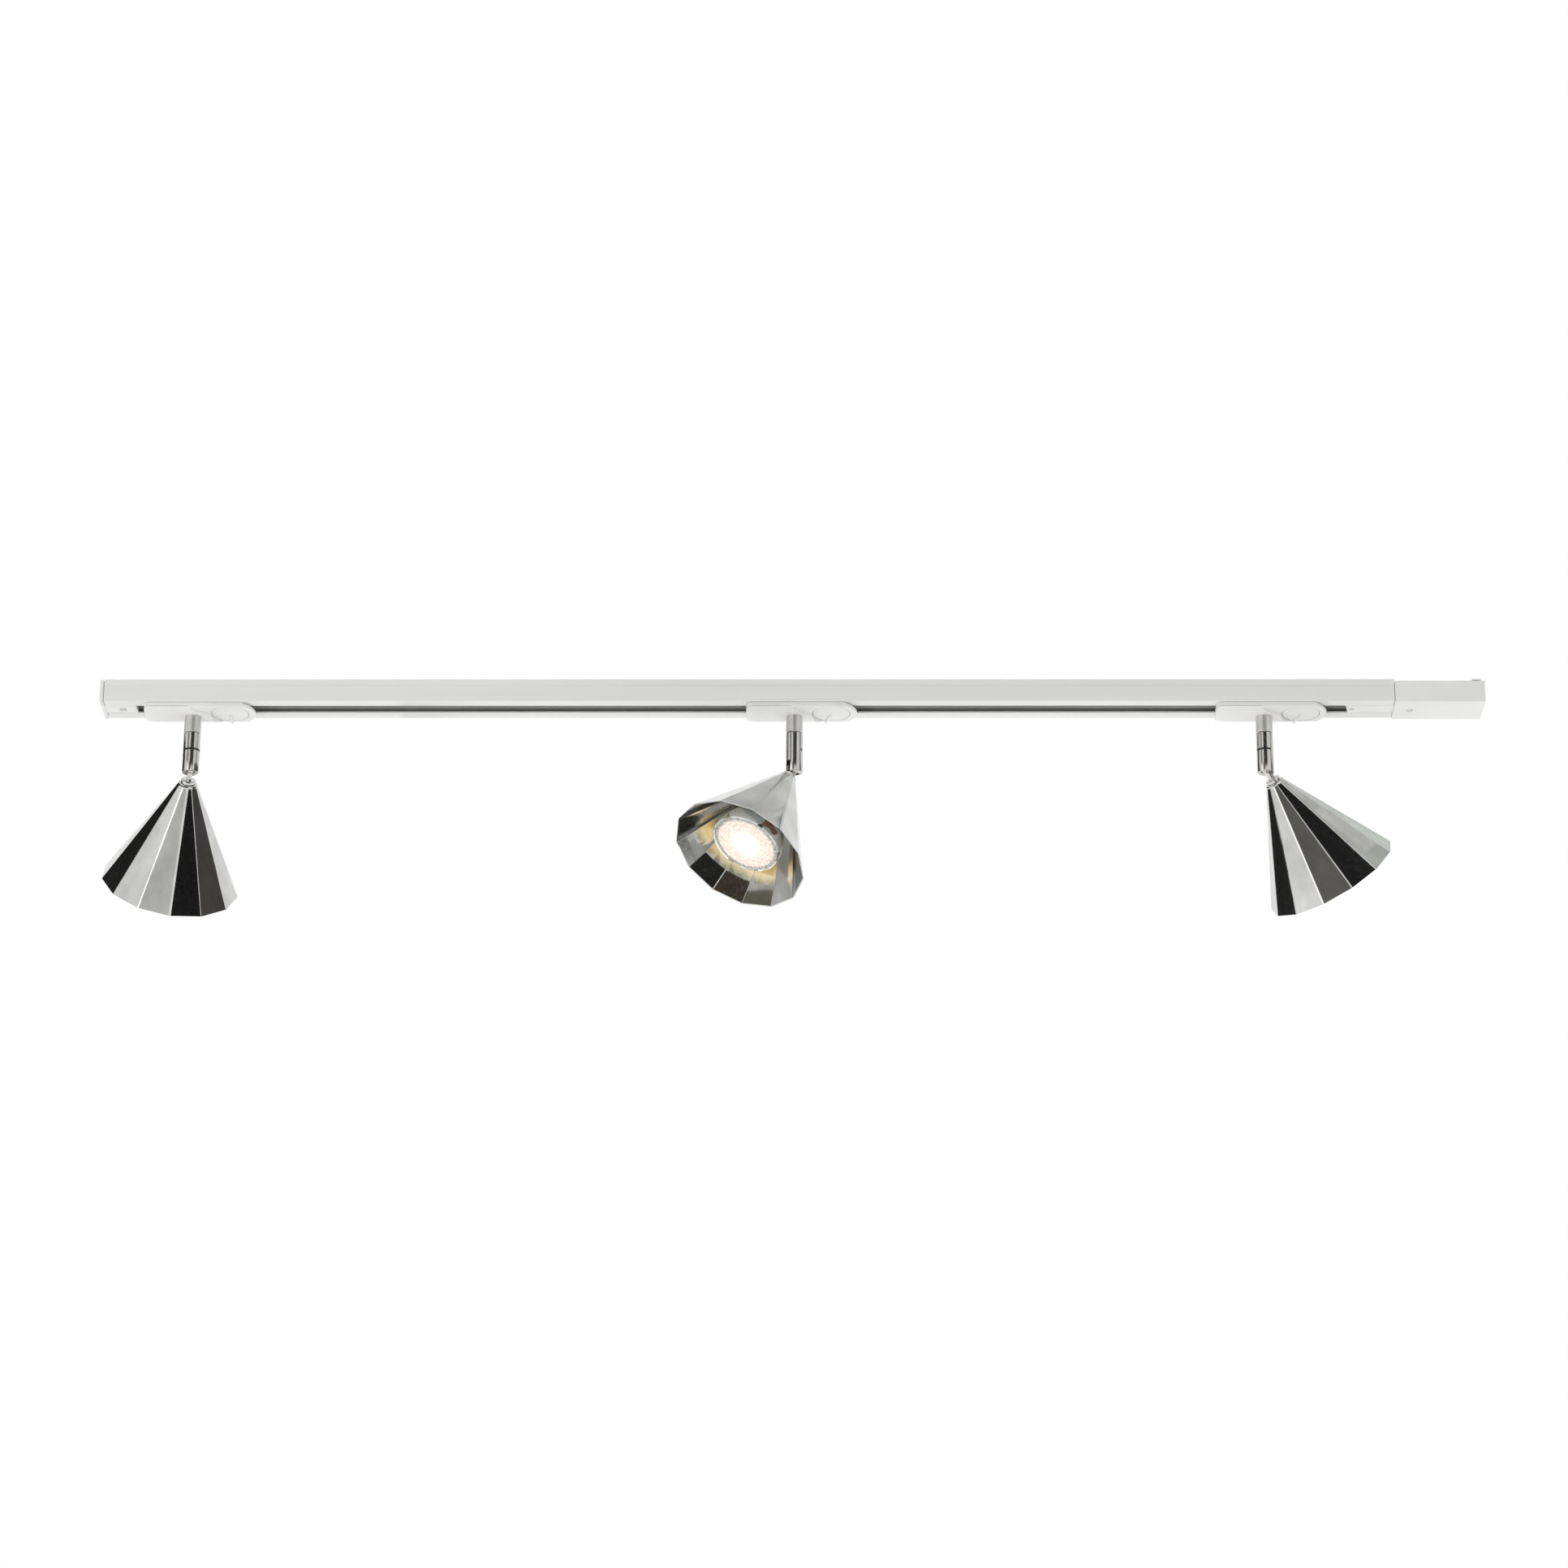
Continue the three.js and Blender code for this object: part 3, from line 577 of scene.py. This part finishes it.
def fork_foot():
    """The tube's solid foot, cut by a slot whose three walls are added as one folded sheet."""
    foot = turned([(0, fork_top), (stem_radius, fork_top), (stem_radius, tube_bottom + foot_rounding),
                   (stem_radius - 0.25, tube_bottom + 0.25), (stem_radius - foot_rounding, tube_bottom),
                   (0, tube_bottom)], tube_steps)
    for axis, at in (((1, 0, 0), -fork_gap / 2), ((1, 0, 0), fork_gap / 2), ((0, 1, 0), -eye_clear)):
        score(foot, [*foot.verts, *foot.edges, *foot.faces], axis, at)
    foot.normal_update()
    open_faces = [f for f in foot.faces if in_slot(f.calc_center_median())]
    bmesh.ops.delete(foot, geom=open_faces, context="FACES")
    walls = bmesh.new()
    corners = [(-fork_gap / 2, slot_mouth), (-fork_gap / 2, -eye_clear),
               (fork_gap / 2, -eye_clear), (fork_gap / 2, slot_mouth)]
    verts = [walls.verts.new((x * MM, y * MM, tube_bottom * MM)) for x, y in corners]
    edges = [walls.edges.new(pair) for pair in zip(verts, verts[1:])]
    made = bmesh.ops.extrude_edge_only(walls, edges=edges)["geom"]
    bmesh.ops.translate(walls, verts=points_of(made), vec=(0, 0, (fork_top - tube_bottom) * MM))
    merge(foot, walls)
    return foot


swivel = {}
for spot in SPOTS:
    side_axis = Vector(joint[spot + "_tilt"]["axis"])
    turn = math.atan2(side_axis.y, side_axis.x)
    swivel[spot] = Matrix.Translation((stem_x[spot] * MM, 0, 0)) @ Matrix.Rotation(turn, 4, "Z")
    bm = turned([(wire_hole, stem_top), (stem_radius, stem_top), (stem_radius, collar_bottom + end_rounding),
                 (stem_radius - end_rounding, collar_bottom), (spigot, collar_bottom),
                 (spigot, spigot_bottom), (wire_hole, spigot_bottom), (wire_hole, stem_top)])
    new_piece(spot + "_collar", bm, satin_nickel, spot + "_adapter", "satin_nickel", spot + "_stem_collar",
              place=Matrix.Translation((stem_x[spot] * MM, 0, 0)))

    bm = turned([(tube_bore, tube_top), (stem_radius - end_rounding, tube_top),
                 (stem_radius, tube_top - end_rounding), (stem_radius, clip_z + clip_half),
                 (stem_radius, clip_z - clip_half), (stem_radius, fork_top), (0, fork_top),
                 (0, fork_top + 1), (tube_bore, fork_top + 1), (tube_bore, tube_top)], tube_steps)
    bm.normal_update()
    groove = [f for f in bm.faces if abs(f.calc_center_median().z - clip_z * MM) < 0.5 * MM
              and f.calc_center_median().xy.length > 6 * MM and f.normal.y < math.sin(math.radians(-4))]
    made = bmesh.ops.extrude_face_region(bm, geom=groove)["geom"]
    bmesh.ops.delete(bm, geom=groove, context="FACES_ONLY")
    bmesh.ops.scale(bm, vec=(groove_share, groove_share, 1), verts=points_of(made))
    merge(bm, fork_foot())
    new_piece(spot + "_tube", bm, bright_nickel, spot + "_arm", "satin_nickel", spot + "_stem_tube",
              place=swivel[spot])
    nodes[spot + "_swivel_clip"].data.materials[0] = dark_steel
    nodes[spot + "_hinge_pin"].data.materials[0] = dark_steel


# ---------------------------------------------------------------------------------------------------
# The shade is a thirteen-sided cone folded from bright sheet metal, with a fine grain down each facet
# and a soft bend between facets. A shank through its top is clamped by a nut inside.

FACETS = 13
shade_spin = {"left": 16.6, "middle": 5.6, "right": 14.1}
rim_radius, rim_z, shoulder_radius, shoulder_z, neck_radius, neck_z = 53.65, -102.4, 7.9, -14.6, 6.3, -12.7
sheet, bend, inner_bend, bend_steps, shank_hole, top_sheet = 0.9, 1.3, 0.4, 5, 5.2, 1.2
cone_angle, fold_length = 27, 60
inner = sheet / math.cos(math.radians(cone_angle))
shade_section = [(rim_radius, rim_z), (shoulder_radius, shoulder_z),
                 (shoulder_radius - 0.15, shoulder_z + 0.8), (shoulder_radius - 0.7, shoulder_z + 1.5),
                 (neck_radius, neck_z), (shank_hole, neck_z),
                 (shank_hole, neck_z - top_sheet), (shoulder_radius - inner, shoulder_z - 0.8),
                 (rim_radius - inner, rim_z), (rim_radius, rim_z)]

bright_sheet = finish("bright folded sheet", (0.6, 0.6, 0.585), 0.14, 1)
tones(bright_sheet, grain(bright_sheet, (60, 60, 35), 5, "own_place"), (0.5, 0.5, 0.487),
      (0.66, 0.66, 0.65), 0.3, 0.7)
gloss(bright_sheet, grain(bright_sheet, (900, 900, 40), 3, "own_place"), 0.06, 0.12)
relief(bright_sheet, grain(bright_sheet, (1600, 1600, 30), 2, "own_place"), 0.05, 0.00002)
relief(bright_sheet, grain(bright_sheet, (90, 90, 60), 2, "own_place"), 0.04, 0.0001)

head = {}
for spot in SPOTS:
    hinge = joint[spot + "_tilt"]
    across = Vector(hinge["axis"]).normalized()
    up = -Vector(joint[spot + "_bulb_twist"]["axis"]).normalized()
    back = up.cross(across)
    head[spot] = Matrix.Translation(hinge["pos_m"]) @ Matrix((across, back, up)).transposed().to_4x4()
    bm = turned(shade_section, FACETS)
    for outside, size in ((True, bend), (False, inner_bend)):
        folds = [e for e in bm.edges if e.calc_length() > fold_length * MM
                 and (max(v.co.xy.length for v in e.verts) > (rim_radius - inner / 2) * MM) == outside]
        round_edges(bm, folds, size, bend_steps)
    spin = Matrix.Rotation(math.radians(shade_spin[spot]), 3, "Z")
    bmesh.ops.rotate(bm, verts=bm.verts, cent=(0, 0, 0), matrix=spin)
    keep_local(bm)
    new_piece(spot + "_cone", bm, bright_sheet, spot + "_head", "brushed_shade", spot + "_shade",
              place=head[spot], sharp=3)


# ---------------------------------------------------------------------------------------------------
# A bright tongue swings in the stem's fork on a cross pin. Its eye, neck and flange are one piece with
# the shank that holds the shade, and a ceramic lamp holder is screwed to the shank's end.

polished = turned_metal("polished hinge metal", (0.6, 0.59, 0.57), (0.74, 0.73, 0.71), 0.08, 0.16)
eye_radius, eye_thick, neck_half, shank_radius, shank_bottom = 4.3, 3.6, 2.6, 4.8, -26
flange = [(0, -9.8), (4.6, -9.8), (5.3, -10), (5.75, -10.5), (5.8, -11.2), (5.6, -12.4),
          (shank_radius, -12.4)]
for spot in SPOTS:
    bm = bmesh.new()
    bmesh.ops.create_cone(bm, cap_ends=True, segments=48, radius1=eye_radius * MM, radius2=eye_radius * MM,
                          depth=eye_thick * MM, matrix=Matrix.Rotation(math.pi / 2, 4, "Y"))
    round_edges(bm, [e for e in bm.edges if abs(e.verts[0].co.x - e.verts[1].co.x) < 1e-6], 0.35, 2)
    add_block(bm, (-eye_thick / 2, eye_thick / 2), (-neck_half, neck_half), (-11, -3), 0.3, 2)
    merge(bm, turned([*flange, (shank_radius, shank_bottom), (0, shank_bottom)], 48))
    new_piece(spot + "_tongue", bm, polished, spot + "_head", "satin_nickel", spot + "_hinge_tongue",
              place=head[spot])
    nodes[spot + "_shade_nut"].data.materials[0] = plated
    nodes[spot + "_lamp_holder"].data.materials[0] = ceramic
    nodes[spot + "_bulb_base"].data.materials[0] = ceramic


# ---------------------------------------------------------------------------------------------------
# The bulb is a twist-lock reflector lamp. Its faceted glass body has painted reflections in its colour
# and a painted warm glow on one side near the front, which also lights the shade. Inside its thin glass
# rim a pebbled front lens glows warm white in the middle.

bulb_front, bulb_radius, glass_rim, lens_edge = -91, 27.3, 1.2, 4.5
# The direction of the one side of the bulb's body that gets a painted glow.
painted_glow_side = (0.766, -0.643, 0)


def own_place(tree):
    """Where each point is on the piece itself."""
    place = tree.nodes.new("ShaderNodeAttribute")
    place.attribute_name = "own_place"
    return place.outputs["Vector"]


def spread(tree, value, start, end):
    """Runs from 0 to 1 as a value goes from start to end."""
    node = tree.nodes.new("ShaderNodeMapRange")
    node.inputs["From Min"].default_value = start
    node.inputs["From Max"].default_value = end
    tree.links.new(value, node.inputs["Value"])
    return node.outputs["Result"]


def colours(tree, value, stops):
    """A colour ramp through (position, colour) stops in order."""
    node = tree.nodes.new("ShaderNodeValToRGB")
    ramp = node.color_ramp
    ramp.elements[0].position, ramp.elements[1].position = stops[0][0], stops[-1][0]
    ramp.elements[0].color, ramp.elements[1].color = (*stops[0][1], 1), (*stops[-1][1], 1)
    for at, colour in stops[1:-1]:
        ramp.elements.new(at).color = (*colour, 1)
    tree.links.new(value, node.inputs["Fac"])
    return node


lamp_glass = finish("faceted reflector glass", (0.8, 0.8, 0.77), 0.12)
tree = lamp_glass.node_tree
surface = tree.nodes["Principled BSDF"]
place = own_place(tree)
# Painted reflections: cells of near black, khaki, grey green, white and brown in the body's colour stand in
# for what its faceted glass reflects.
facets = tree.nodes.new("ShaderNodeTexVoronoi")
facets.inputs["Scale"].default_value = 105
tree.links.new(place, facets.inputs["Vector"])
painted_reflection_patches = colours(tree, facets.outputs["Color"],
                  [(0, (0.05, 0.045, 0.045)), (0.22, (0.42, 0.38, 0.24)), (0.4, (0.6, 0.66, 0.62)),
                   (0.62, (0.92, 0.9, 0.84)), (0.86, (0.32, 0.2, 0.14))])
painted_reflection_patches.color_ramp.interpolation = "CONSTANT"
tree.links.new(painted_reflection_patches.outputs["Color"], surface.inputs["Base Color"])
height = tree.nodes.new("ShaderNodeSeparateXYZ")
tree.links.new(place, height.inputs["Vector"])
# Painted glow: the body emits warm light in a band near its front, and only on the side that faces the
# direction above, so that side reads as lit and throws gold into the shade.
painted_glow = colours(tree, spread(tree, height.outputs["Z"], -0.060, -0.0895),
                [(0, (0.04, 0.03, 0.01)), (0.35, (0.16, 0.12, 0.04)), (0.62, (0.9, 0.62, 0.24)),
                 (0.8, (1.0, 0.8, 0.46)), (0.93, (0.5, 0.42, 0.22)), (1, (0.3, 0.3, 0.27))])
tree.links.new(painted_glow.outputs["Color"], surface.inputs["Emission Color"])
facing = tree.nodes.new("ShaderNodeVectorMath")
facing.operation = "DOT_PRODUCT"
facing.inputs[1].default_value = painted_glow_side
tree.links.new(place, facing.inputs[0])
tree.links.new(spread(tree, facing.outputs["Value"], -0.006, 0.012), surface.inputs["Emission Strength"])

glow = finish("pebbled glowing lens", (0.3, 0.29, 0.27), 0.12)
tree = glow.node_tree
surface = tree.nodes["Principled BSDF"]
flat = tree.nodes.new("ShaderNodeVectorMath")
flat.operation = "MULTIPLY"
flat.inputs[1].default_value = (1, 1, 0)
tree.links.new(own_place(tree), flat.inputs[0])
reach = tree.nodes.new("ShaderNodeVectorMath")
reach.operation = "LENGTH"
tree.links.new(flat.outputs["Vector"], reach.inputs[0])
share = tree.nodes.new("ShaderNodeMath")
share.operation = "DIVIDE"
share.inputs[1].default_value = bulb_radius * MM
tree.links.new(reach.outputs["Value"], share.inputs[0])
light = colours(tree, share.outputs["Value"],
                [(0, (1, 0.9, 0.78)), (0.22, (0.9, 0.78, 0.66)), (0.5, (0.58, 0.47, 0.4)),
                 (0.82, (0.52, 0.4, 0.33)), (0.88, (0.1, 0.11, 0.105))])
tree.links.new(light.outputs["Color"], surface.inputs["Emission Color"])
surface.inputs["Emission Strength"].default_value = 1.3
tones(glow, grain(glow, (420, 420, 420), 1, "own_place"), (0.2, 0.2, 0.19), (0.42, 0.42, 0.4), 0.42, 0.58)
relief(glow, grain(glow, (500, 500, 500), 2, "own_place"), 0.6, 0.0005)

lens_radius, lens_seat = bulb_radius - glass_rim, bulb_front + 2.4
for spot in SPOTS:
    bm = turned([(0, -50.3), (13, -50.3), (18, -58), (24, -74), (bulb_radius, -84.5),
                 (bulb_radius, bulb_front + 0.4), (bulb_radius - 0.4, bulb_front),
                 (bulb_radius - 0.9, bulb_front), (lens_radius, bulb_front + 0.4),
                 (lens_radius, lens_seat), (0, lens_seat)], 96)
    keep_local(bm)
    new_piece(spot + "_lamp_body", bm, lamp_glass, spot + "_bulb", "lamp_white", spot + "_bulb_body",
              place=head[spot])
    bm = turned([(0, lens_seat - 0.3), (lens_radius - 0.1, lens_seat - 0.3),
                 (lens_radius - 0.1, bulb_front + 0.8), (bulb_radius - lens_edge, bulb_front + 0.3),
                 (0, bulb_front + 0.3)], 96)
    keep_local(bm)
    new_piece(spot + "_lens", bm, glow, spot + "_bulb", "lens", spot + "_bulb_lens", place=head[spot])


# ---------------------------------------------------------------------------------------------------
# The studio: a pale floor far below, an even white surround, and matt boards and cards round the
# fixture, out of the camera's sight, that give the bright metal its reflections.

scene = bpy.context.scene
scene.view_settings.view_transform = "Standard"
world = bpy.data.worlds.new("white surround")
scene.world = world
world.use_nodes = True
surround = world.node_tree.nodes["Background"]
surround.inputs["Color"].default_value = (1, 1, 1, 1)
surround.inputs["Strength"].default_value = 1.0


def board(name, centre, width, height, colour, strength=1.0, lights_paint=True):
    """A flat board that faces the fixture. A card that doesn't light paint shows in metal only."""
    centre = Vector(centre)
    aim = centre.to_track_quat("-Z", "Y").to_matrix().to_4x4()
    bm = bmesh.new()
    bmesh.ops.create_grid(bm, x_segments=1, y_segments=1, size=0.5,
                          matrix=Matrix.Translation(centre) @ aim @ Matrix.Diagonal((width, height, 1, 1)))
    mesh = bpy.data.meshes.new(name)
    bm.to_mesh(mesh)
    bm.free()
    material = finish(name, (0, 0, 0), 1)
    surface = material.node_tree.nodes["Principled BSDF"]
    surface.inputs["Specular IOR Level"].default_value = 0
    surface.inputs["Emission Color"].default_value = (*colour, 1)
    surface.inputs["Emission Strength"].default_value = strength
    mesh.materials.append(material)
    obj = bpy.data.objects.new(name, mesh)
    scene.collection.objects.link(obj)
    obj.visible_camera = False
    obj.visible_shadow = False
    obj.visible_diffuse = lights_paint


board("black board front high", (0.42, -2.7, 1.0), 2.5, 1.5, (0.015, 0.015, 0.015))
board("dark brown board front", (-0.6, -2.75, 0.4), 1.2, 0.75, (0.055, 0.04, 0.03))
board("black card right front below", (2.3, -2.3, -2.0), 1.9, 1.9, (0.02, 0.02, 0.022))
board("black board right low", (1.6, -2.1, -1.15), 1.3, 1.1, (0.015, 0.015, 0.015))
board("dark grey board front", (-0.68, -2.8, -0.3), 1.1, 0.9, (0.16, 0.155, 0.145))
board("light grey board front low", (-0.9, -2.8, -1.15), 1.2, 0.75, (0.7, 0.7, 0.69))
board("black board left", (-2.7, 0.85, 0.65), 2.4, 2.5, (0.022, 0.022, 0.022))
board("warm grey board right", (2.5, 0, 0.25), 1.3, 1.6, (0.18, 0.165, 0.15))
board("bright strip left", (-1.9, -2.3, -0.5), 0.6, 2.0, (1, 1, 1), 2.2)
board("grey green board above right", (2.1, -0.8, 2.1), 2.2, 2.0, (0.58, 0.6, 0.57))
board("pale board above", (0.9, 1.9, 2.3), 2.0, 1.4, (0.76, 0.8, 0.77))
board("dark card between two spots", (-0.2, 0, -0.13), 0.24, 0.26, (0.085, 0.08, 0.073), lights_paint=False)
board("dark grey card right below", (2.04, -0.55, -1.3), 1.0, 1.0, (0.1, 0.098, 0.1), lights_paint=False)
board("khaki card left above", (-1.75, -1.5, 1.0), 0.9, 0.9, (0.16, 0.15, 0.12), lights_paint=False)

floor_z, floor_reach = -2.2, 8
bm = bmesh.new()
bmesh.ops.create_grid(bm, x_segments=1, y_segments=1, size=floor_reach,
                      matrix=Matrix.Translation((0, 0, floor_z)))
floor_mesh = bpy.data.meshes.new("floor")
bm.to_mesh(floor_mesh)
bm.free()
floor = bpy.data.objects.new("floor", floor_mesh)
scene.collection.objects.link(floor)
floor_paint = finish("pale floor", (0.85, 0.85, 0.84), 0.7)
surface = floor_paint.node_tree.nodes["Principled BSDF"]
surface.inputs["Emission Color"].default_value = (1, 1, 1, 1)
surface.inputs["Emission Strength"].default_value = 0.25
floor_mesh.materials.append(floor_paint)

camera_data = bpy.data.cameras.new("camera")
camera_data.sensor_width = 36
camera_data.lens = 108.89
camera_data.clip_end = 100
camera = bpy.data.objects.new("camera", camera_data)
scene.collection.objects.link(camera)
eye, heading, rise, roll = (0.08671, -3.40302, -1.43643), 0.0172, 0.3791, -0.0064
camera.matrix_world = (Matrix.Translation(eye) @ Matrix.Rotation(heading, 4, "Z")
                       @ Matrix.Rotation(rise, 4, "X") @ Matrix.Rotation(roll, 4, "Y")
                       @ Matrix.Rotation(math.pi / 2, 4, "X"))
scene.camera = camera
